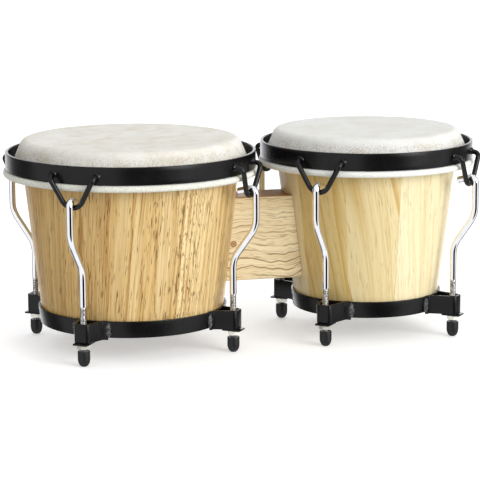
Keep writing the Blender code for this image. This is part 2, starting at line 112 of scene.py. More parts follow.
# Steel
HOOP_WALL = 0.0025
HOOP_EDGE_ROUND = 0.0007
WIRE_RADIUS = 0.0022
LOOP_HALF_ANGLE = math.radians(29.5)
LOOP_TOP_Z = 0.1612
LOOP_STUB_RISE = 0.0012
LOOP_BOTTOM_Z = 0.1366
LOOP_BOTTOM_BEND = 0.0103
LOOP_ELBOW_BEND = 0.0042
LOOP_ELBOW_OUT = {"large": 0.0056, "small": 0.0050}
LOOP_SUNK = 0.0004
LOOP_END_ROUND = 0.0004
LOOP_WELD_REACH = 0.0026
LOOP_WELD_SWELL = 0.0013
ROD_RADIUS = 0.0030
ROD_END_ROUND = 0.0005
THREAD_DEPTH = 0.0005
THREAD_CREST = 0.00012
THREAD_PITCH = 0.0010
THREAD_TOP_Z = 0.0510
HOOK_BEND = 0.0045
HOOK_BEND_Z = 0.1380
HOOK_TURN = math.radians(105.0)
HOOK_REACH = 0.0157
UPPER_CRANK_Z = 0.1098
LOWER_CRANK_Z = 0.0808
CRANK_BEND = 0.0240
ROD_BOTTOM_Z = 0.0040
RING_WALL = 0.0020
RING_EDGE_ROUND = 0.0005
RING_ABOVE_STRAP = 0.0014
RING_UNDER_STRAP = 0.0005
STRAP_WALL = 0.0023
STRAP_SUNK = 0.0002
STRAP_FACE = 0.00475
STRAP_HALF_FACE = 0.0055
STRAP_CORNER = 0.0032
STRAP_LEG_FOOT = 0.0105
STRAP_LEG_BEND = 0.0025
STRAP_FLANGE_END = 0.0155
STRAP_EDGE_ROUND = 0.0005
BEAD_ABOVE_STRAP = 0.0016
BEAD_END = 0.0015
BEAD_PROUD = 0.0017
BEAD_HALF_WIDTH = 0.0026
NUT_FLATS = 0.0100
NUT_CHAMFER = 0.0006
NUT_BORE = 0.0030
PLATE_INNER = 0.0082
PLATE_OUTER = 0.0084
PLATE_HALF_WIDTH = 0.0066
PLATE_CORNER = 0.0010
PLATE_EDGE_ROUND = 0.0002
PLATE_HOLE = 0.0034
TIP_SOCKET = 0.0030
TIP_LIP = 0.0006
TIP_FLAT = 0.0012
TIP_ROUND = 0.0068


# -------- measuring the frame


def far_radius(node, axis_x, low=-1.0, high=1.0):
    """Largest distance from a drum's axis of a CAD node's points between two heights."""
    points = [v.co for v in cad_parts[node].data.vertices if low <= v.co.z <= high]
    return max(math.hypot(p.x - axis_x, p.y) for p in points)


def heights(node):
    return tuple(corner.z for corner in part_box(node))


def measure(side):
    """The radii and heights of one drum, read from its CAD nodes."""
    hoop_low, hoop_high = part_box(f"{side}_counterhoop")
    head_low, head_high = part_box(f"{side}_head")
    shell_low, shell_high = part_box(f"{side}_shell")
    axis_x = (hoop_low.x + hoop_high.x) / 2
    shoulder_z = shell_high.z - EDGE_RADIUS * 2
    drum = SimpleNamespace(
        axis=axis_x,
        hoop=(hoop_high.x - hoop_low.x) / 2,
        hoop_z=(hoop_low.z, hoop_high.z),
        roll=(head_high.x - head_low.x) / 2,
        roll_bottom=head_low.z,
        head_top=head_high.z,
        shell_z=(shell_low.z, shoulder_z, shell_high.z),
        foot=far_radius(f"{side}_shell", axis_x, shell_low.z - GAP, shell_low.z + GAP),
        shoulder=far_radius(f"{side}_shell", axis_x),
        edge=EDGE_INSET[side],
        strap_z=heights(f"{side}_foot_ring"),
        nut_z=heights(f"{side}_nut_front_left"),
        plate_z=heights(f"{side}_washer_plate_front_left"),
        lugs={},
    )
    for lug in LUGS:
        low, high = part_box(f"{side}_rubber_tip_{lug}")
        place = (low + high) / 2
        drum.lugs[lug] = math.atan2(place.y, place.x - axis_x)
        drum.rod_lower = math.hypot(place.x - axis_x, place.y)
    drum.rod_upper = far_radius(f"{side}_tension_rod_front_left", axis_x) - ROD_RADIUS
    drum.tip_z = (low.z, high.z)
    drum.tip = (high.x - low.x) / 2
    return drum


def cone_radius(drum, z):
    """Outer radius of a drum's shell at a height."""
    low, high = drum.shell_z[0], drum.shell_z[1]
    return drum.foot + (drum.shoulder - drum.foot) * (z - low) / (high - low)


# -------- mesh helpers


def finish_mesh(name, points, faces, material, sharp=SHARP, location=(0, 0, 0), turn=0.0):
    mesh = bpy.data.meshes.new(name)
    mesh.from_pydata(points, [], faces)
    form = bmesh.new()
    form.from_mesh(mesh)
    bmesh.ops.recalc_face_normals(form, faces=form.faces)
    form.to_mesh(mesh)
    form.free()
    mesh.shade_smooth()
    mesh.set_sharp_from_angle(angle=math.radians(sharp))
    mesh.materials.append(material)
    return place_object(name, mesh, location, turn)


def place_object(name, data, location=(0, 0, 0), turn=0.0):
    obj = bpy.data.objects.new(name, data)
    bpy.context.scene.collection.objects.link(obj)
    obj.location = location
    obj.rotation_euler = (0, 0, turn)
    return obj


def aim(obj, drum, lug):
    """Puts a piece made about the drum's axis in place, turned to a lug."""
    obj.location = (drum.axis, 0, 0)
    obj.rotation_euler = (0, 0, drum.lugs[lug])


def revolve(name, outline, material, location=(0, 0, 0), steps=ROUND_STEPS, shape=None, sharp=SHARP):
    """Solid of revolution. shape(angle, radius, z) may move a point, for a hand-made unevenness."""
    points, rings = [], []
    for radius, z in outline:
        if radius == 0:
            rings.append([len(points)] * steps)
            points.append((0, 0, z))
            continue
        ring = []
        for i in range(steps):
            angle = math.tau * i / steps
            r, height = shape(angle, radius, z) if shape else (radius, z)
            ring.append(len(points))
            points.append((r * math.cos(angle), r * math.sin(angle), height))
        rings.append(ring)
    pairs = list(zip(rings, rings[1:]))
    if outline[0][0] != 0:
        pairs.append((rings[-1], rings[0]))
    faces = []
    for first, second in pairs:
        for i in range(steps):
            k = (i + 1) % steps
            face = [first[i], first[k], second[k], second[i]]
            faces.append(list(dict.fromkeys(face)))
    return finish_mesh(name, points, faces, material, sharp, location)


def arc(centre, radius, start, end, steps):
    """Points on an arc, as (radius, z), from one angle to another in radians."""
    across, along = radius if isinstance(radius, tuple) else (radius, radius)
    turns = [start + (end - start) * i / steps for i in range(steps + 1)]
    return [(centre[0] + across * math.cos(a), centre[1] + along * math.sin(a)) for a in turns]


def rounded_rectangle(near, far, half, soft, steps):
    """Outline from near to far along X and half wide to each side, its corners rounded."""
    outline = []
    far, near, half = far - soft, near + soft, half - soft
    for quarter, centre in enumerate(((far, half), (near, half), (near, -half), (far, -half))):
        outline += arc(centre, soft, quarter * QUARTER, (quarter + 1) * QUARTER, steps)
    return outline


def band_section(low, high, inner_low, inner_high, wall, soft, parts=1):
    """Closed outline of a round band with rounded edges, its two faces cut into parts."""
    outline = arc((inner_high + wall - soft, high - soft), soft, QUARTER, 0, 4)
    lean, rise = (inner_high - inner_low) / parts, (high - low) / parts
    faces = [(inner_low + lean * k, low + rise * k) for k in range(1, parts)]
    outline += [(radius + wall, z) for radius, z in faces[::-1]]
    outline += arc((inner_low + wall - soft, low + soft), soft, 0, -QUARTER, 4)
    outline += arc((inner_low + soft, low + soft), soft, -QUARTER, -math.pi, 4) + faces
    return outline + arc((inner_high + soft, high - soft), soft, math.pi, QUARTER, 4)


def rounded_path(corners, bends, steps):
    """A path through the corners, each inner corner replaced by an arc of its own bend radius."""
    corners = [Vector(c) for c in corners]
    path = [corners[0]]
    for i, bend in enumerate(bends, start=1):
        back = (corners[i - 1] - corners[i]).normalized()
        ahead = (corners[i + 1] - corners[i]).normalized()
        half = back.angle(ahead) / 2
        centre = corners[i] + (back + ahead).normalized() * bend / math.sin(half)
        first = corners[i] + back * bend / math.tan(half) - centre
        last = corners[i] + ahead * bend / math.tan(half) - centre
        sweep = first.angle(last)
        for k in range(steps + 1):
            share = k / steps
            spoke = first * math.sin((1 - share) * sweep) + last * math.sin(share * sweep)
            path.append(centre + spoke / math.sin(sweep))
    path.append(corners[-1])
    return path


def tube_faces(rows, count):
    """Quads between rows of count points, each row a closed ring."""
    faces = []
    for base in range(0, rows * count, count):
        for k in range(count):
            n = (k + 1) % count
            faces.append([base + k, base + n, base + count + n, base + count + k])
    return faces


def sweep_round(name, path, radius_at, material, end_round):
    """Round bar along a path. radius_at(index, angle) gives its radius, and both ends are chamfered."""
    count = len(path)
    tangents = []
    for i in range(count):
        tangents.append((path[min(i + 1, count - 1)] - path[max(i - 1, 0)]).normalized())
    side = tangents[0].orthogonal().normalized()
    sides_at = []
    for i in range(count):
        side = (side - tangents[i] * side.dot(tangents[i])).normalized()
        sides_at.append(side)
    rows = [(path[0] - tangents[0] * end_round, 0, end_round), *((p, i, 0.0) for i, p in enumerate(path))]
    rows.append((path[-1] + tangents[-1] * end_round, count - 1, end_round))
    points = []
    for centre, i, inset in rows:
        across = tangents[i].cross(sides_at[i])
        for k in range(BAR_SIDES):
            angle = math.tau * k / BAR_SIDES
            radius = radius_at(i, angle) - inset
            points.append(centre + (sides_at[i] * math.cos(angle) + across * math.sin(angle)) * radius)
    faces = tube_faces(len(rows) - 1, BAR_SIDES)
    faces += [list(range(BAR_SIDES)), list(range(len(points) - BAR_SIDES, len(points)))]
    return finish_mesh(name, points, faces, material, 35.0)


def band_outline(path, thickness):
    """Plan outline of a strap of this thickness along a path."""
    right, left = [], []
    for i, point in enumerate(path):
        before, after = path[max(i - 1, 0)], path[min(i + 1, len(path) - 1)]
        first = (point - before).normalized() if i else (after - point).normalized()
        second = (after - point).normalized() if i < len(path) - 1 else first
        along = (first + second).normalized()
        side = Vector((along.y, -along.x)) * (thickness / 2) / max(along.dot(first), 0.5)
        right.append(point + side)
        left.append(point - side)
    return [tuple(p) for p in right + left[::-1]]


def prism(name, outline, bottom, top, material, soft=0.0, turn=0.0):
    """Upright prism on a plan outline, its sharp edges rounded by soft."""
    count = len(outline)
    points = [(x, y, bottom) for x, y in outline] + [(x, y, top) for x, y in outline]
    faces = [list(range(count)), list(range(count, 2 * count))]
    faces += [[i, (i + 1) % count, (i + 1) % count + count, i + count] for i in range(count)]
    obj = finish_mesh(name, points, faces, material, turn=turn)
    if soft:
        bevel = obj.modifiers.new("Soft edges", "BEVEL")
        bevel.width = soft
        bevel.segments = 3
        bevel.angle_limit = math.radians(SHARP)
    return obj


def cut(obj, cutter, operation="DIFFERENCE"):
    """Applies a Boolean at once and removes its cutter."""
    boolean = obj.modifiers.new("Cut", "BOOLEAN")
    boolean.operation = operation
    boolean.solver = "EXACT"
    boolean.object = cutter
    settle(obj)
    bpy.data.objects.remove(cutter)


def settle(obj):
    """Turns an object's modifiers into its mesh."""
    bpy.context.view_layer.update()
    graph = bpy.context.evaluated_depsgraph_get()
    mesh = bpy.data.meshes.new_from_object(obj.evaluated_get(graph))
    mesh.name = obj.name
    obj.modifiers.clear()
    obj.data = mesh
    mesh.shade_smooth()
    mesh.set_sharp_from_angle(angle=math.radians(SHARP))


def put(obj, body, slot, *nodes):
    """Makes a piece ride on a body and stand for its CAD nodes. slot is not used."""
    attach(obj, body)
    if nodes:
        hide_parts(*nodes)


# -------- material helpers


class Nodes:
    """Short calls that add nodes to a shader tree."""

    def __init__(self, tree):
        self.tree = tree

    def add(self, kind, inputs=(), **settings):
        node = self.tree.nodes.new("ShaderNode" + kind)
        for key, value in settings.items():
            setattr(node, key, value)
        for socket, value in dict(inputs).items():
            if isinstance(value, bpy.types.NodeSocket):
                self.tree.links.new(value, node.inputs[socket])
            else:
                node.inputs[socket].default_value = value
        return node

    def math(self, operation, first, second=None, third=None, clamp=False):
        """A Math node. None leaves a socket that the operation doesn't use as it is."""
        inputs = {i: value for i, value in enumerate((first, second, third)) if value is not None}
        return self.add("Math", inputs, operation=operation, use_clamp=clamp).outputs[0]

    def times(self, first, second):
        return self.math("MULTIPLY", first, second)

    def fused(self, first, factor, extra, clamp=False):
        """first times factor, plus extra."""
        return self.math("MULTIPLY_ADD", first, factor, extra, clamp)

    def vector(self, x, y, z):
        return self.add("CombineXYZ", {0: x, 1: y, 2: z}).outputs[0]

    def noise(self, vector, scale, detail, roughness=0.5, distortion=0.0):
        inputs = {"Vector": vector, "Scale": scale, "Detail": detail, "Roughness": roughness}
        inputs["Distortion"] = distortion
        return self.add("TexNoise", inputs).outputs[0]

    def drawn_out(self, sockets, scales, seed=0.0, detail=2.0, roughness=0.5, distortion=0.0):
        """Noise with its own scale along each axis, in cycles for each metre."""
        scaled = [self.fused(s, k, seed) for s, k in zip(sockets, scales)]
        return self.noise(self.vector(*scaled), 1.0, detail, roughness, distortion)

    def span(self, value, low, high, to_low=0.0, to_high=1.0, smooth=False):
        inputs = {0: value, 1: low, 2: high, 3: to_low, 4: to_high}
        kind = "SMOOTHSTEP" if smooth else "LINEAR"
        return self.add("MapRange", inputs, interpolation_type=kind).outputs[0]

    def mix(self, share, first, second):
        first, second = (c if isinstance(c, bpy.types.NodeSocket) else (*c, 1.0) for c in (first, second))
        return self.add("Mix", {0: share, 6: first, 7: second}, data_type="RGBA").outputs[2]

    def dot(self, first, second):
        return self.add("VectorMath", {0: first, 1: second}, operation="DOT_PRODUCT").outputs["Value"]


class Shade(Nodes):
    """A material with one Principled shader."""

    def __init__(self, name, **settings):
        self.material = bpy.data.materials.new(name)
        self.material.use_nodes = True
        super().__init__(self.material.node_tree)
        self.shader = self.tree.nodes["Principled BSDF"]
        for socket, value in settings.items():
            self.shader.inputs[socket.replace("_", " ")].default_value = value

    def drive(self, socket, output):
        self.tree.links.new(output, self.shader.inputs[socket])

    def place(self):
        """The place on the object in metres, whole and as sockets X, Y and Z."""
        place = self.add("TexCoord").outputs["Object"]
        return place, self.add("SeparateXYZ", {0: place}).outputs

    def tint(self, share, colour):
        self.colour = self.mix(share, self.colour, colour)

    def done(self, roughness, height, distance, strength):
        """Drives colour, roughness and bump, and hands over the material."""
        bump = {"Height": height, "Distance": distance, "Strength": strength}
        self.drive("Base Color", self.colour)
        self.drive("Roughness", roughness)
        self.drive("Normal", self.add("Bump", bump).outputs[0])
        return self.material


# -------- materials


def shell_wood(name, staves, radius, palette, lean, seed, figure, specked=None):
    """Varnished staves with upright grain.

    palette is (light, mid, dark, pore, ochre). lean is how far the grain leans for each metre of height,
    least and most. figure is the strength of the grain. specked is the angle, in radians, of the middle of
    the one band that is full of short dark pores.
    """
    light, mid, dark, pore, ochre = palette
    wood = Shade(name, Roughness=0.42, Coat_Weight=0.06, Coat_Roughness=0.3, Specular_IOR_Level=0.25)
    _, place = wood.place()
    angle = wood.math("ARCTAN2", place[1], place[0])
    count = wood.fused(angle, staves / math.tau, staves / 2 - STAVE_SHIFT[staves])
    stave = wood.math("FLOOR", count)
    chance = wood.math("FRACT", wood.fused(stave, 0.77, seed))
    across = wood.times(angle, radius)
    leaning = wood.fused(chance, lean[1] - lean[0], lean[0])
    warp = wood.drawn_out((across, place[2], stave), (22.0, 7.0, 1.0))
    across = wood.fused(place[2], leaning, across)
    across = wood.fused(warp, 0.006, across)
    grain = [across, place[2], stave]
    broad = wood.drawn_out(grain, (26.0, 2.4, 3.1))
    bands = wood.drawn_out(grain, (170.0, 3.5, 5.7), detail=3.0, roughness=0.6)
    streaks = wood.drawn_out(grain, (400.0, 5.0, 1.9), roughness=0.55)
    fine = wood.drawn_out(grain, (1500.0, 26.0, 7.9), detail=3.0, roughness=0.65)
    growth = wood.drawn_out(grain, (13.0, 1.1, 6.3), detail=0.5)
    rings = wood.math("FRACT", wood.times(growth, 9.0))
    rings = wood.times(wood.span(rings, 0.72, 0.97, smooth=True), wood.span(rings, 0.97, 1.0, 1.0, 0.0))
    rings = wood.times(rings, wood.span(chance, 0.35, 0.50, 0.06, 1.15 - 0.85 * figure))
    needles = wood.drawn_out(grain, (1000.0, 75.0, 2.3), detail=1.0)
    needles = wood.span(wood.fused(bands, 0.35, needles), 0.80, 0.87, smooth=True)
    tone = wood.fused(bands, 2.0, wood.fused(fine, 2.8, -3.1))
    tone = wood.fused(streaks, 2.6, tone, clamp=True)
    tone = wood.times(tone, figure)
    wood.colour = wood.mix(tone, light, mid)
    # Ochre tone that differs from stave to stave. The seeds give the leftmost staves a strong share of it,
    # which is partly painted shade standing in for the shadow on that side.
    wood.tint(wood.span(chance, 0.30, 0.80, 0.0, 0.62), ochre)
    deep = wood.fused(fine, 0.5, wood.times(streaks, 0.5))
    strong = wood.fused(chance, 0.55 * figure, 0.38 * figure)
    wood.tint(wood.times(wood.span(deep, 0.49, 0.60, smooth=True), strong), dark)
    wood.tint(wood.span(broad, 0.40, 0.70, 0.0, 0.28), wood.mix(0.5, mid, dark))
    wood.tint(rings, dark)
    wood.tint(wood.times(needles, 0.75 * figure), pore)
    relief = wood.fused(fine, 0.4, wood.times(needles, -0.6))
    if specked is not None:
        away = wood.math("ABSOLUTE", wood.math("SUBTRACT", angle, specked))
        band = wood.span(away, 0.10, 0.22, 1.0, 0.0, smooth=True)
        dots = wood.drawn_out(grain, (900.0, 170.0, 4.1), detail=1.0)
        dots = wood.times(wood.span(dots, 0.60, 0.68, smooth=True), band)
        wood.tint(wood.times(dots, 0.85), pore)
        relief = wood.fused(dots, -0.8, relief)
    joint = wood.span(wood.math("PINGPONG", count, 0.5), 0.0, 0.008, 0.35, 0.0)
    wood.tint(joint, dark)
    relief = wood.math("SUBTRACT", relief, joint)
    return wood.done(wood.span(fine, 0.3, 0.7, 0.36, 0.50), relief, 0.00012, 0.6)


def block_wood(knot, block_low, block_high):
    """Wood with level, wavy grain lines and one small knot. The grain runs along X."""
    gloss = {"Roughness": 0.5, "Coat_Weight": 0.03, "Coat_Roughness": 0.4, "Specular_IOR_Level": 0.22}
    wood = Shade("block_wood_look", **gloss)
    _, place = wood.place()
    x, y, z = place[0], place[1], place[2]
    slow = wood.drawn_out((x, y, z), (26.0, 9.0, 16.0))
    quick = wood.drawn_out((x, y, z), (80.0, 30.0, 30.0), 4.0)
    level = wood.fused(slow, 0.013, z)
    level = wood.fused(quick, 0.0042, level)
    ends = {0: wood.vector(x, 0.0, z), 1: knot}
    from_knot = wood.add("VectorMath", ends, operation="DISTANCE").outputs["Value"]
    pull = wood.span(from_knot, 0.002, 0.011, 0.0026, 0.0, smooth=True)
    side = wood.math("SIGN", wood.math("SUBTRACT", z, knot[2]))
    level = wood.fused(side, wood.times(pull, -1.0), level)
    plank = (x, y, level)
    lines = wood.drawn_out(plank, (7.0, 25.0, 430.0), 9.0, detail=2.5, roughness=0.55)
    fine = wood.drawn_out(plank, (40.0, 60.0, 1500.0), 2.0)
    broad = wood.drawn_out(plank, (5.0, 20.0, 60.0), 6.0)
    dashes = wood.drawn_out(plank, (75.0, 60.0, 900.0), 1.0, detail=1.0)
    broken = wood.drawn_out(plank, (38.0, 30.0, 180.0), 5.0)
    tone = wood.fused(lines, 1.3, wood.fused(fine, 0.8, -0.75), clamp=True)
    wood.colour = wood.mix(tone, (0.90, 0.78, 0.52), (0.70, 0.52, 0.27))
    wood.tint(wood.span(broad, 0.42, 0.62, 0.0, 0.35), (0.76, 0.56, 0.29))
    fade_low, fade_high = (block_low + share * (block_high - block_low) for share in (0.3, 0.5))
    strong = wood.span(z, fade_low, fade_high, 1.0, 0.30)
    rings = wood.math("SINE", wood.fused(slow, 16.0, wood.times(level, 950.0)))
    rings = wood.times(wood.span(rings, 0.78, 0.985, smooth=True), wood.span(broken, 0.36, 0.52))
    rings = wood.times(rings, strong)
    close = wood.drawn_out(plank, (13.0, 25.0, 640.0), 3.0, roughness=0.6)
    close = wood.times(wood.span(close, 0.53, 0.66, smooth=True), wood.span(broken, 0.66, 0.44))
    dark = wood.math("MAXIMUM", rings, wood.times(close, 0.75))
    wood.tint(wood.times(dark, 0.85), (0.27, 0.14, 0.04))
    dash = wood.span(dashes, 0.61, 0.68, 0.0, 0.5, smooth=True)
    wood.tint(dash, (0.30, 0.16, 0.06))
    front = wood.span(y, -0.010, -0.004, 1.0, 0.0)
    ring = wood.math("SINE", wood.times(from_knot, 3600.0))
    ring = wood.span(ring, -1.0, 1.0, 0.55, 1.0)
    spot = wood.times(wood.span(from_knot, 0.0022, 0.0036, 1.0, 0.0, smooth=True), front)
    wood.tint(wood.times(spot, ring), (0.32, 0.13, 0.03))
    # Painted shade: the top face is darkened to a deep brown, standing in for the shadow under the hoops.
    painted_top_shade = wood.span(z, block_high - 0.0009, block_high - 0.0003, 0.0, 0.93)
    wood.tint(painted_top_shade, (0.36, 0.16, 0.025))
    relief = wood.fused(dark, -0.8, wood.times(fine, 0.5))
    return wood.done(wood.span(fine, 0.3, 0.7, 0.42, 0.6), relief, 0.00015, 0.6)


def rawhide(name, white, warm, roll_colours, roll_top, head_top):
    """Off-white skin, mottled all over and specked on the collar; the roll is greener and damper-looking, and
    on the small skin lifted near white as painted light.
    """
    hide = Shade(name, Roughness=0.7, Specular_IOR_Level=0.12)
    hide.shader.inputs["Subsurface Weight"].default_value = 0.08
    hide.shader.inputs["Subsurface Radius"].default_value = (0.004, 0.003, 0.002)
    hide.shader.inputs["Subsurface Scale"].default_value = 0.5
    vector, place = hide.place()
    cloud = hide.noise(vector, 16.0, 4.0, 0.6, 0.8)
    patch = hide.noise(vector, 55.0, 4.0, 0.65, 0.5)
    speck = hide.noise(vector, 950.0, 2.0, 0.6)
    pore = hide.noise(vector, 2100.0, 1.0)
    veins = hide.drawn_out(place, (30.0, 130.0, 60.0), 3.0, 3.0, 0.6, 1.5)
    shade = tuple(c - d for c, d in zip(white, (0.05, 0.065, 0.09)))
    hide.colour = hide.mix(hide.span(cloud, 0.35, 0.68), white, shade)
    hide.tint(hide.span(patch, 0.46, 0.70, 0.0, warm), (0.66, 0.57, 0.43))
    hide.tint(hide.span(veins, 0.56, 0.70, 0.0, 0.22), (0.58, 0.53, 0.45))
    slope = hide.span(place[2], head_top - 0.0035, head_top - 0.0080, 0.0, 1.0, smooth=True)
    dots = hide.span(hide.fused(patch, 0.45, speck), 0.64, 0.84, smooth=True)
    dots = hide.times(dots, hide.fused(slope, 0.50, 0.12))
    hide.tint(dots, (0.46, 0.40, 0.30))
    # The roll's own pair of colours; on the small skin this pale pair is painted light, lifting the roll
    # against the hoop's shadow.
    rolled = hide.span(place[2], roll_top + 0.0006, roll_top - 0.0004, 0.0, 0.7)
    hide.tint(rolled, hide.mix(hide.span(speck, 0.38, 0.62), *roll_colours))
    relief = hide.fused(patch, 1.5, hide.fused(pore, 0.35, hide.times(speck, 0.65)))
    return hide.done(hide.span(patch, 0.3, 0.7, 0.62, 0.80), relief, 0.00016, 0.5)


def enamel(name, base, rough, coat, wear):
    """Black stoved enamel: slight orange peel, dust-dulled patches and a few rubbed specks."""
    paint = Shade(name, Coat_Weight=coat, Coat_Roughness=0.12, Specular_IOR_Level=0.25)
    vector, _ = paint.place()
    dull = paint.noise(vector, 45.0, 4.0, 0.6)
    peel = paint.noise(vector, 650.0, 2.0)
    specks = paint.noise(vector, 1400.0, 1.0)
    paint.colour = paint.mix(paint.span(dull, 0.35, 0.7), base, tuple(c * 1.7 + 0.001 for c in base))
    rubbed = paint.math("ADD", specks, paint.times(dull, 0.15))
    paint.tint(paint.span(rubbed, 0.82, 0.90, 0.0, wear), (0.10, 0.10, 0.10))
    return paint.done(paint.span(dull, 0.3, 0.7, rough - 0.01, rough + 0.03), peel, 0.00005, 0.5)


def weld_metal():
    """Painted-over weld: uneven, greyer and duller than the enamel round it."""
    weld = Shade("weld_look", Specular_IOR_Level=0.4)
    vector, _ = weld.place()
    lumps = weld.noise(vector, 420.0, 3.0, 0.6)
    ash = weld.noise(vector, 1500.0, 2.0)
    weld.colour = weld.mix(weld.span(lumps, 0.4, 0.65), (0.020, 0.020, 0.021), (0.17, 0.165, 0.16))
    weld.tint(weld.span(ash, 0.6, 0.75, 0.0, 0.5), (0.16, 0.15, 0.14))
    relief = weld.math("ADD", lumps, weld.times(ash, 0.3))
    return weld.done(weld.span(ash, 0.3, 0.7, 0.42, 0.62), relief, 0.0004, 0.7)


def plated(name, base, shadow, rough, brushed=0.0, thread_top=None, metallic=1.0):
    """Bright plating with faint smears and hairline scratches, duller where a thread is cut."""
    metal = Shade(name, Metallic=metallic)
    vector, place = metal.place()
    smear = metal.noise(vector, 60.0, 4.0, 0.6, 1.0)
    hair = metal.drawn_out(place, (2600.0, 2600.0, 160.0))
    metal.colour = metal.mix(metal.span(smear, 0.35, 0.7), base, shadow)
    if thread_top:
        grime = metal.drawn_out(place, (500.0, 500.0, 900.0))
        cut = metal.span(place[2], thread_top, thread_top - 0.0012)
        cut = metal.times(cut, metal.span(grime, 0.40, 0.60, 0.35, 0.95))
        metal.tint(cut, (0.24, 0.235, 0.225))
    dull = metal.span(smear, 0.3, 0.75, rough * 0.8, rough * 1.6)
    return metal.done(dull, metal.math("ADD", hair, smear), 0.00002 + brushed, 0.4)


def rubber():
    tips = Shade("rubber_look", Specular_IOR_Level=0.35, Sheen_Weight=0.1, Sheen_Roughness=0.4)
    vector, place = tips.place()
    bloom = tips.noise(vector, 120.0, 4.0, 0.65)
    grit = tips.noise(vector, 1800.0, 2.0)
    tips.colour = tips.mix(tips.span(bloom, 0.4, 0.75), (0.005, 0.005, 0.0055), (0.013, 0.0125, 0.0125))
    scuff = tips.span(place[2], 0.0, 0.0022, 0.5, 0.0)
    scuff = tips.times(scuff, tips.span(bloom, 0.35, 0.6))
    tips.tint(scuff, (0.075, 0.072, 0.068))
    return tips.done(tips.span(bloom, 0.3, 0.7, 0.34, 0.52), grit, 0.00006, 0.5)


# -------- wooden pieces


def toward_block(piece, side, drum, z, radius):
    """Places a piece so that its own Z axis points from the drum's axis to the block."""
    turn = 0.0 if side == "large" else math.pi
    piece.location = (drum.axis + radius * math.cos(turn), radius * math.sin(turn), z)
    piece.rotation_euler = (0, QUARTER, turn)


def screw_places(side, drum):
    """Height, and distance from the drum's axis of the washer's seat, of the two block screws."""
    for height in ("lower", "upper"):
        low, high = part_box(f"{side}_screw_washer_{height}")
        seat = max(abs(low.x - drum.axis), abs(high.x - drum.axis)) + GAP
        yield height, (low.z + high.z) / 2, seat


def make_shell(side, drum, material):
    low, shoulder, top = drum.shell_z
    centre = (drum.edge, top - EDGE_RADIUS)
    slope = (drum.shoulder - drum.foot) / (shoulder - low)
    foot, soft = drum.foot, SHELL_FOOT_ROUND
    outline = [(cone_radius(drum, z), z) for z in (shoulder, 0.14, 0.10, 0.06, low + soft)]
    outline += arc((foot - soft, low + soft), soft, 0, -QUARTER, 4)[1:]
    outline += arc((foot - SHELL_WALL + soft, low + soft), soft, -QUARTER, -math.pi, 4)
    land = drum.edge - EDGE_LAND
    throat = cone_radius(drum, top - EDGE_CHAMFER) - SHELL_WALL
    outline += [(cone_radius(drum, z) - SHELL_WALL, z) for z in (0.06, 0.10, 0.14)]
    outline += [(throat, top - (land - throat)), (land, top)]
    outline += arc(centre, EDGE_RADIUS, QUARTER, slope / 2, 8)
    shell = revolve(f"{side}_shell_staves", outline, material, (drum.axis, 0, 0))
    for _, z, seat in screw_places(side, drum):
        stepped = [(0, 2 * SHELL_WALL), (SCREW_BORE, 2 * SHELL_WALL), (SCREW_BORE, 0), (WASHER_SPOT, 0)]
        stepped += [(WASHER_SPOT, -SHELL_WALL), (0, -SHELL_WALL)]
        cutter = revolve("cutter", stepped, material, steps=48)
        toward_block(cutter, side, drum, z, seat)
        cut(shell, cutter)
    put(shell, "root", f"{side}_shell_wood", f"{side}_shell")


def make_block(drums, material):
    """Block with rounded long edges and ends hollowed to the two shells."""
    low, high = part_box("centre_block")
    rings, spans = 8, 24
    half_y, half_z = (high.y - low.y) / 2, (high.z - low.z) / 2
    middle_z = (high.z + low.z) / 2
    corners = rounded_rectangle(-half_y, half_y, half_z, BLOCK_EDGE_ROUND, 4)
    section = []
    for (y, z), after in zip(corners, corners[1:] + corners[:1]):
        parts = max(1, round(math.dist((y, z), after) / BLOCK_MESH))
        section += [(y + (after[0] - y) * k / parts, z + (after[1] - z) * k / parts) for k in range(parts)]

    def end_x(side, y, z):
        drum = drums[side]
        reach = math.sqrt((cone_radius(drum, z) + GAP) ** 2 - y * y)
        return drum.axis + (reach if side == "large" else -reach)

    def end_ring(side, k):
        scaled = [(y * k / rings, middle_z + z * k / rings) for y, z in section]
        return [(end_x(side, y, z), y, z) for y, z in scaled]

    loops = [end_ring("large", k) for k in range(1, rings + 1)]
    for k in range(1, spans):
        row = []
        for y, z in ((y, middle_z + z) for y, z in section):
            left, right = end_x("large", y, z), end_x("small", y, z)
            row.append((left + (right - left) * k / spans, y, z))
        loops.append(row)
    loops += [end_ring("small", k) for k in range(rings, 0, -1)]
    count = len(section)
    points = [point for loop in loops for point in loop]
    faces = tube_faces(len(loops) - 1, count)
    for side, base in (("large", 0), ("small", (len(loops) - 1) * count)):
        points.append((end_x(side, 0, middle_z), 0, middle_z))
        faces += [[base + i, base + (i + 1) % count, len(points) - 1] for i in range(count)]
    block = finish_mesh("block_body", points, faces, material)
    put(block, "root", "block_wood", "centre_block")


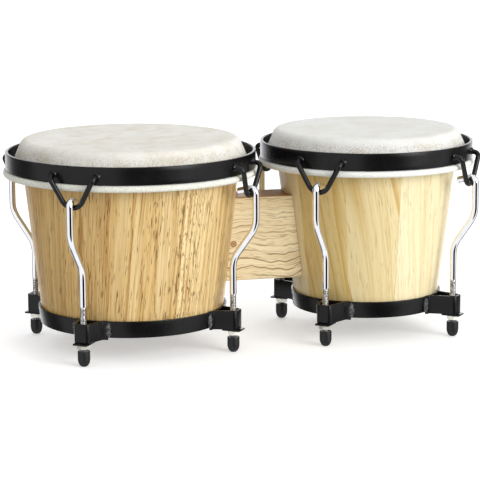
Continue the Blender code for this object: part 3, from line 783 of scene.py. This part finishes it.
def make_screws(side, drum, material):
    for height, z, seat in screw_places(side, drum):
        soft, near = 0.0002, -0.0002
        far = near - WASHER_THICK
        washer = [(WASHER_OUT, near - soft), (WASHER_OUT, far + soft), (WASHER_OUT - soft, far)]
        washer += [(SCREW_BORE + soft, far), (SCREW_BORE, far + soft), (SCREW_BORE, near - soft)]
        washer += [(SCREW_BORE + soft, near), (WASHER_OUT - soft, near)]
        ring = revolve(f"{side}_washer_{height}", washer, material, steps=48)
        crest, root = SCREW_THREAD
        outline = [(0, 0.0280), (0.0008, 0.0264)]
        for k in range(18):
            at = 0.0255 - k * SCREW_PITCH
            outline += [(crest, at), (root, at - SCREW_PITCH / 2)]
        outline += [(crest, near), (crest, -0.0016), (0.0045, -0.0016)]
        outline += arc((0.0, -0.0023), (0.0045, 0.0021), 0, -QUARTER, 8)
        screw = revolve(f"{side}_screw_{height}", outline, material, steps=32)
        for turn in (0.0, QUARTER):
            slot = prism("slot", [(-0.0023, -0.0004), (0.0023, -0.0004), (0.0023, 0.0004), (-0.0023, 0.0004)],
                         -0.006, -0.0028, material, turn=turn)
            cut(screw, slot)
        for piece in (ring, screw):
            toward_block(piece, side, drum, z, seat)
        put(ring, "root", "zinc_steel", f"{side}_screw_washer_{height}")
        put(screw, "root", "zinc_steel", f"{side}_block_screw_{height}")


# -------- hides and hoops


def make_hide(side, drum, material):
    """Skin over the bearing edge, down the collar, and rolled round the flesh hoop."""
    top, roll_top, roll_low = drum.head_top, drum.hoop_z[0] - GAP, drum.roll_bottom
    centre = (drum.edge, drum.shell_z[2] - EDGE_RADIUS)
    leave = QUARTER - COLLAR_LEAN
    under = arc(centre, EDGE_RADIUS + SKIN_OVER_EDGE, leave, QUARTER, 10)
    over = arc(centre, EDGE_RADIUS + SKIN_OVER_EDGE + SKIN, QUARTER, leave, 10)
    out, down = math.cos(COLLAR_LEAN), math.sin(COLLAR_LEAN)
    reach = (over[-1][1] - COLLAR_MIDDLE_Z) / down
    tip_out = drum.hoop - HOOP_WALL - HOOP_INSIDE_COLLAR
    tip_in = tip_out - ROLL_SKIN
    outline = [(0, top)] + [(drum.edge * k / 12, top) for k in range(1, 12)] + over
    outline += [(over[-1][0] + out * reach * k / 5, over[-1][1] - down * reach * k / 5) for k in range(1, 6)]
    low = outline[-1]
    lean, drop = (tip_out - low[0]) / 3, (roll_top + GAP - low[1]) / 3
    outline += [(low[0] + lean * k, low[1] + drop * k) for k in (1, 2, 3)]
    pocket_top, pocket_low, pocket_out = roll_top - ROLL_SKIN, roll_low + ROLL_SKIN, drum.roll - ROLL_SKIN
    outline += [(tip_out, pocket_low), (pocket_out, pocket_low), (pocket_out, pocket_top)]
    outline += [(tip_out + ROLL_SLIT, pocket_top), (tip_out + ROLL_SLIT, roll_top)]
    bulge, middle = drum.roll - ROLL_BULGE, (roll_top + roll_low) / 2
    outline += arc((bulge, middle), (ROLL_BULGE, (roll_top - roll_low) / 2), QUARTER, -QUARTER, 12)
    outline += [(tip_in + 0.0016, roll_low), (tip_in, roll_low + 0.0016), (tip_in, roll_top)]
    inner = (low[0] - SKIN * down, low[1] - SKIN * out)
    outline += [inner] + under
    outline += [(drum.edge * k / 12, top - SKIN) for k in range(11, 0, -1)] + [(0, top - SKIN)]
    seed = drum.axis * 100

    def uneven(angle, radius, z):
        """A hand-soaked skin: faint ripples on the collar, soft lumps round the outside of the roll."""
        spot = Vector((radius * math.cos(angle), radius * math.sin(angle), z))
        wide = noise.noise(spot * 45 + Vector((seed, 0, 0)))
        close = noise.noise(spot * 210 + Vector((0, seed, 0)))
        if z > roll_top + GAP:
            share = min(1.0, max(0.0, (drum.shell_z[2] - z) / 0.006))
            return radius + share * COLLAR_RIPPLE * wide, z
        if radius > drum.roll - ROLL_BULGE:
            lump = 0.00038 * wide + 0.00020 * close
            return radius + lump - 0.0002, z + min(0.0, lump) * 0.4
        return radius, z

    hide = revolve(f"{side}_hide", outline, material, (drum.axis, 0, 0), shape=uneven, sharp=60.0)
    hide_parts(f"{side}_head")
    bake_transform(hide)


def make_hoop(side, drum, material):
    inner = drum.hoop - HOOP_WALL
    outline = band_section(*drum.hoop_z, inner, inner, HOOP_WALL, HOOP_EDGE_ROUND, 4)
    hoop = revolve(f"{side}_hoop_band", outline, material, (drum.axis, 0, 0))
    put(hoop, f"{side}_tension_set", "black_steel", f"{side}_counterhoop")


def make_loops(side, drum, material):
    """U-bent wires. Each end swells into the small weld that holds it to the hoop."""
    slant = math.tan(LOOP_HALF_ANGLE)
    apex_z = LOOP_BOTTOM_Z - LOOP_BOTTOM_BEND * (1 / math.sin(LOOP_HALF_ANGLE) - 1)
    half = (LOOP_TOP_Z - apex_z) * slant
    loop_top = drum.hoop + LOOP_ELBOW_OUT[side]
    bottom_x = drum.rod_upper - ROD_RADIUS - WIRE_RADIUS - GAP
    lean = (loop_top - bottom_x) / (LOOP_TOP_Z - LOOP_BOTTOM_Z)
    apex_x = bottom_x - lean * (LOOP_BOTTOM_Z - apex_z)
    stub_x = math.sqrt(drum.hoop ** 2 - (half - WIRE_RADIUS) ** 2) - LOOP_SUNK
    stub_z = LOOP_TOP_Z + LOOP_STUB_RISE
    corners = [(stub_x, -half, stub_z), (loop_top, -half, LOOP_TOP_Z), (apex_x, 0, apex_z)]
    corners += [(loop_top, half, LOOP_TOP_Z), (stub_x, half, stub_z)]
    bends = rounded_path(corners, [LOOP_ELBOW_BEND, LOOP_BOTTOM_BEND, LOOP_ELBOW_BEND], 12)
    start, end = bends[1] - bends[0], bends[-2] - bends[-1]
    path = [bends[0] + start * k / 6 for k in range(6)] + bends[1:-1]
    path += [bends[-1] + end * k / 6 for k in range(5, -1, -1)]

    def radius_at(i, angle):
        from_end = min((path[i] - path[0]).length, (path[i] - path[-1]).length)
        swell = max(0.0, 1 - from_end / LOOP_WELD_REACH) ** 2 * LOOP_WELD_SWELL
        lumps = 1 + 0.3 * noise.noise(Vector((math.cos(angle) * 1.7, math.sin(angle) * 1.7, i)))
        return WIRE_RADIUS + swell * lumps

    for lug in LUGS:
        loop = sweep_round(f"{side}_loop_{lug}", path, radius_at, material, LOOP_END_ROUND)
        aim(loop, drum, lug)
        put(loop, f"{side}_tension_set", "black_wire", f"{side}_wire_loop_{lug}")


# -------- rods, brackets and feet


def make_rods(side, drum, material):
    """Hooked, cranked rods with a cut thread at the foot."""
    upper, lower = drum.rod_upper, drum.rod_lower
    hook = [(x, 0, z) for x, z in arc((upper - HOOK_BEND, HOOK_BEND_Z), HOOK_BEND, HOOK_TURN, 0, 16)]
    end_x = upper - HOOK_REACH
    end_z = hook[0][2] - (hook[0][0] - end_x) * math.tan(HOOK_TURN - QUARTER)
    corners = [(upper, 0, HOOK_BEND_Z), (upper, 0, UPPER_CRANK_Z), (lower, 0, LOWER_CRANK_Z)]
    corners.append((lower, 0, THREAD_TOP_Z))
    path = [Vector(p) for p in [(end_x, 0, end_z)] + hook] + rounded_path(corners, [CRANK_BEND] * 2, 10)[1:]
    plain = len(path)
    slices = 6
    for k in range(1, int((THREAD_TOP_Z - ROD_BOTTOM_Z) / THREAD_PITCH * slices)):
        path.append(Vector((lower, 0, THREAD_TOP_Z - k * THREAD_PITCH / slices)))

    def radius_at(i, angle):
        if i < plain:
            return ROD_RADIUS
        turn = (i - plain) / slices + angle / math.tau
        tooth = abs((turn % 1.0) * 2 - 1)
        start = min(1.0, (i - plain) / (2.0 * slices))
        return ROD_RADIUS - THREAD_CREST - THREAD_DEPTH * tooth * start

    for lug in LUGS:
        name = f"{side}_rod_{lug}"
        if lug == LUGS[0]:
            rod = sweep_round(name, path, radius_at, material, ROD_END_ROUND)
        else:
            rod = place_object(name, rod.data)
        aim(rod, drum, lug)
        put(rod, f"{side}_tension_set", "chrome", f"{side}_tension_rod_{lug}")


def make_foot_ring(side, drum, material, weld):
    low, high = drum.strap_z
    ring_low, ring_high = low + RING_ABOVE_STRAP, high - RING_UNDER_STRAP
    inner_low, inner_high = (cone_radius(drum, z) + GAP for z in (ring_low, ring_high))
    outline = band_section(ring_low, ring_high, inner_low, inner_high, RING_WALL, RING_EDGE_ROUND)
    band = revolve(f"{side}_foot_band", outline, material, (drum.axis, 0, 0))
    put(band, "root", "black_steel", f"{side}_foot_ring")
    flange = inner_high + RING_WALL - STRAP_SUNK
    face = drum.rod_lower + STRAP_FACE
    turns = [run / flange for run in (STRAP_FLANGE_END, STRAP_LEG_FOOT)]
    half = [(flange * math.cos(turn), flange * math.sin(turn)) for turn in turns] + [(face, STRAP_HALF_FACE)]
    corners = [(x, -y) for x, y in half] + half[::-1]
    bends = [STRAP_LEG_BEND, STRAP_CORNER, STRAP_CORNER, STRAP_LEG_BEND]
    outline = band_outline(rounded_path(corners, bends, 6), STRAP_WALL)
    for lug in LUGS:
        strap = prism(f"{side}_bracket_{lug}", outline, low, high, material, STRAP_EDGE_ROUND)
        aim(strap, drum, lug)
        settle(strap)
        put(strap, "root", "black_steel")
        for end, sign in (("right", 1), ("left", -1)):
            bead = make_weld(f"{side}_weld_{end}_{lug}", flange, sign, low, high, weld)
            aim(bead, drum, lug)
            put(bead, "root", "black_steel")


def make_weld(name, flange, sign, low, high, material):
    """Upright rippled bead over the end of a strap's flange."""
    rows, sides = 26, 12
    turn = STRAP_FLANGE_END / flange
    points = []
    for row in range(rows + 1):
        share = row / rows
        z = low + BEAD_ABOVE_STRAP + (high - low - 2 * BEAD_END) * share
        lumps = noise.noise(Vector((share * 6, sign * 3.1, flange * 90)))
        ripple = 1 + 0.14 * math.sin(share * math.tau * 7) + 0.22 * lumps
        size = ripple * math.sin(math.pi * share) ** 0.35
        angle = sign * (turn + 0.006 * noise.noise(Vector((share * 5, sign, flange * 40))))
        centre = Vector((flange * math.cos(angle), flange * math.sin(angle), z))
        outward = Vector((math.cos(angle), math.sin(angle), 0))
        along = Vector((-math.sin(angle), math.cos(angle), 0))
        for k in range(sides):
            spin = math.tau * k / sides
            proud, wide = math.cos(spin) * BEAD_PROUD * size, math.sin(spin) * BEAD_HALF_WIDTH * size
            points.append(centre + outward * proud + along * wide)
    faces = tube_faces(rows, sides) + [list(range(sides)), list(range(rows * sides, (rows + 1) * sides))]
    return finish_mesh(name, points, faces, material, 60.0)


def make_feet(side, drum, materials):
    """Washer plate, hex nut and rubber tip of each lug."""
    lower = drum.rod_lower
    plate_low, plate_high = drum.plate_z
    nut_low, nut_high = drum.nut_z
    height = nut_high - nut_low
    corner = NUT_FLATS / 2 / math.cos(math.pi / 6)
    outline = rounded_rectangle(-PLATE_INNER, PLATE_OUTER, PLATE_HALF_WIDTH, PLATE_CORNER, 3)
    plate = prism("plate", outline, plate_low, plate_high, materials["enamel"], PLATE_EDGE_ROUND)
    settle(plate)
    top, bottom = plate_high + PAST, plate_low - PAST
    hole = [(0, top), (PLATE_HOLE, top), (PLATE_HOLE, bottom), (0, bottom)]
    cut(plate, revolve("hole", hole, materials["enamel"], steps=40))
    hexagon = [(corner * math.cos(math.tau * i / 6), corner * math.sin(math.tau * i / 6)) for i in range(6)]
    nut = prism("nut", hexagon, 0, height, materials["nickel"])
    face, rim = NUT_FLATS / 2 - 0.0001, corner + GAP
    lens = [(0, height), (face, height), (rim, height - NUT_CHAMFER), (rim, NUT_CHAMFER), (face, 0), (0, 0)]
    cut(nut, revolve("lens", lens, materials["nickel"], steps=96), "INTERSECT")
    mouth, sunk = NUT_BORE + 0.0014, 0.0004
    hole = [(0, height + PAST), (mouth, height + PAST), (NUT_BORE, height - sunk), (NUT_BORE, sunk)]
    hole += [(mouth, -PAST), (0, -PAST)]
    cut(nut, revolve("hole", hole, materials["nickel"], steps=40))
    tip_low, tip_high = drum.tip_z
    radius, floor, mouth = drum.tip, ROD_BOTTOM_Z - GAP, 0.0004
    bullet = [(0, floor), (TIP_SOCKET, floor), (TIP_SOCKET, tip_high - mouth), (TIP_SOCKET + mouth, tip_high)]
    bullet += arc((radius - TIP_LIP, tip_high - TIP_LIP), TIP_LIP, QUARTER, 0, 5)
    bullet += [(radius, tip_low + 0.0090), (radius, tip_low + 0.0072)]
    bullet += arc((TIP_FLAT, tip_low + TIP_ROUND), (radius - TIP_FLAT, TIP_ROUND), 0, -QUARTER, 10)
    bullet.append((0, tip_low))
    tip = revolve("tip", bullet, materials["rubber"], steps=40, sharp=50.0)
    for lug in LUGS:
        turn = drum.lugs[lug]
        at = Vector((drum.axis + lower * math.cos(turn), lower * math.sin(turn), 0))
        piece = place_object(f"{side}_plate_{lug}", plate.data, at, turn)
        put(piece, "root", "black_steel", f"{side}_washer_plate_{lug}")
        piece = place_object(f"{side}_hex_nut_{lug}", nut.data, at + Vector((0, 0, nut_low)), turn)
        put(piece, f"{side}_nut_{lug}", "nickel", f"{side}_nut_{lug}")
        piece = place_object(f"{side}_foot_tip_{lug}", tip.data, at, turn)
        put(piece, f"{side}_tension_set", "black_rubber", f"{side}_rubber_tip_{lug}")
    for pattern in (plate, nut, tip):
        bpy.data.objects.remove(pattern)


# -------- stage


def make_stage():
    """Plain pale floor in a white room, with broad soft suns from the front right and from behind."""
    make_floor()
    make_room()
    bpy.context.scene.view_settings.view_transform = "Standard"
    sun("key_light", azimuth=33.0, elevation=16.0, width=40.0, strength=2.28)
    sun("back_light", azimuth=150.0, elevation=40.0, width=50.0, strength=0.5)


def make_floor():
    """Pale floor, lit from within a little so that shadows stay light. It is left out of reflections
    and seen only from above."""
    floor = Shade("floor_look", Roughness=0.9, Specular_IOR_Level=0.1, Emission_Color=(1.0, 1.0, 1.0, 1.0))
    vector, _ = floor.place()
    pale = floor.mix(floor.noise(vector, 3.0, 2.0), (0.85, 0.85, 0.85), (0.88, 0.88, 0.88))
    rays = floor.add("LightPath").outputs
    floor.drive("Base Color", floor.mix(rays["Is Camera Ray"], (0.66, 0.655, 0.64), pale))
    floor.drive("Emission Strength", floor.times(rays["Is Camera Ray"], 0.42))
    clear = floor.add("BsdfTransparent").outputs[0]
    under = floor.add("NewGeometry").outputs["Backfacing"]
    hidden = floor.math("MAXIMUM", rays["Is Glossy Ray"], under)
    surface = {0: hidden, 1: floor.shader.outputs[0], 2: clear}
    surface = floor.add("MixShader", surface).outputs[0]
    floor.tree.links.new(surface, floor.tree.nodes["Material Output"].inputs["Surface"])
    reach = 12.0
    corners = [(-reach, -reach, 0), (reach, -reach, 0), (reach, reach, 0), (-reach, reach, 0)]
    finish_mesh("floor", corners, [[0, 1, 2, 3]], floor.material)


def make_room():
    """White room with a small dark gap in front and dim back corners, which show only in reflections."""
    world = bpy.data.worlds.new("room")
    world.use_nodes = True
    room = Nodes(world.node_tree)
    way = room.add("TexCoord").outputs["Generated"]
    front = room.dot(way, (0.137, -0.976, -0.168))
    mirrored = room.span(front, 0.84, 0.90, 1.05, 0.005, smooth=True)
    back = room.dot(way, (0.27, 0.947, -0.168))
    corner = room.times(room.span(back, 0.06, 0.22), room.span(back, 0.70, 0.82, 1.0, 0.0))
    mirrored = room.times(mirrored, room.span(corner, 0.0, 1.0, 1.0, 0.14))
    mirrored = room.math("ADD", mirrored, room.span(back, 0.80, 0.95, 0.0, 1.2))
    rays = room.add("LightPath").outputs
    strength = room.span(rays["Is Glossy Ray"], 0.0, 1.0, 0.70, mirrored)
    strength = room.span(rays["Is Camera Ray"], 0.0, 1.0, strength, 1.0)
    background = world.node_tree.nodes["Background"]
    background.inputs["Color"].default_value = (0.97, 0.98, 1.0, 1.0)
    world.node_tree.links.new(strength, background.inputs["Strength"])
    bpy.context.scene.world = world


def direction(azimuth, elevation):
    """From the object towards a viewer, azimuth degrees to the right of the front."""
    turn, rise = math.radians(azimuth), math.radians(elevation)
    return Vector((math.sin(turn) * math.cos(rise), -math.cos(turn) * math.cos(rise), math.sin(rise)))


def sun(name, azimuth, elevation, width, strength):
    """Broad soft sun. width is how wide it looks, in degrees."""
    light = bpy.data.lights.new(name, "SUN")
    light.angle = math.radians(width)
    light.energy = strength
    place = direction(azimuth, elevation)
    obj = place_object(name, light, place * 3)
    obj.rotation_euler = (-place).to_track_quat("-Z", "Y").to_euler()


def make_camera():
    """Long lens from a little above, slightly to the left of the front."""
    back, distance, roll = direction(-15.87, 9.69), 1.9349, math.radians(-0.24)
    target = Vector((0.0071, 0, 0.11326))
    data = bpy.data.cameras.new("camera")
    data.lens = 165.35
    data.sensor_width = 36.0
    data.shift_x, data.shift_y = -0.02185, -0.06598
    camera = place_object("camera", data, target + back * distance)
    turn = (-back).to_track_quat("-Z", "Y").to_matrix()
    right, up = turn.col[0].copy(), turn.col[1].copy()
    turn.col[0] = right * math.cos(roll) + up * math.sin(roll)
    turn.col[1] = up * math.cos(roll) - right * math.sin(roll)
    camera.rotation_euler = turn.to_euler()
    bpy.context.scene.camera = camera


# -------- assembly


def main():
    drums = {side: measure(side) for side in SIDES}
    make_stage()
    make_camera()
    block_low, block_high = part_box("centre_block")
    woods = {}
    for side, drum in drums.items():
        woods[side] = shell_wood(f"{side}_shell_wood_look", STAVES[side], drum.shoulder, *SHELL_WOODS[side])
    materials = {
        "enamel": enamel("enamel_look", (0.0032, 0.0032, 0.0035), 0.26, 0.0, 0.3),
        "gloss": enamel("wire_look", (0.0022, 0.0022, 0.0026), 0.22, 0.10, 0.15),
        "chrome": plated("chrome_look", (0.93, 0.93, 0.95), (0.86, 0.86, 0.88), 0.05, 0.0, THREAD_TOP_Z),
        "nickel": plated("nickel_look", (0.93, 0.91, 0.83), (0.80, 0.77, 0.66), 0.34, 0.00002, metallic=0.55),
        "zinc": plated("zinc_look", (0.62, 0.61, 0.57), (0.50, 0.49, 0.45), 0.32, 0.00003),
        "rubber": rubber(),
        "weld": weld_metal(),
    }
    knot = (block_low.x + 0.0069, 0.0, block_low.z + 0.0327)
    make_block(drums, block_wood(knot, block_low.z, block_high.z))
    for side, drum in drums.items():
        make_shell(side, drum, woods[side])
        hide_look = rawhide(f"{side}_hide_look", *HIDE_COLOURS[side], drum.hoop_z[0], drum.head_top)
        make_hide(side, drum, hide_look)
        make_hoop(side, drum, materials["enamel"])
        make_loops(side, drum, materials["gloss"])
        make_rods(side, drum, materials["chrome"])
        make_foot_ring(side, drum, materials["enamel"], materials["weld"])
        make_feet(side, drum, materials)
        make_screws(side, drum, materials["zinc"])
        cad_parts[f"{side}_flesh_hoop"].material_slots[0].material = materials["zinc"]


main()
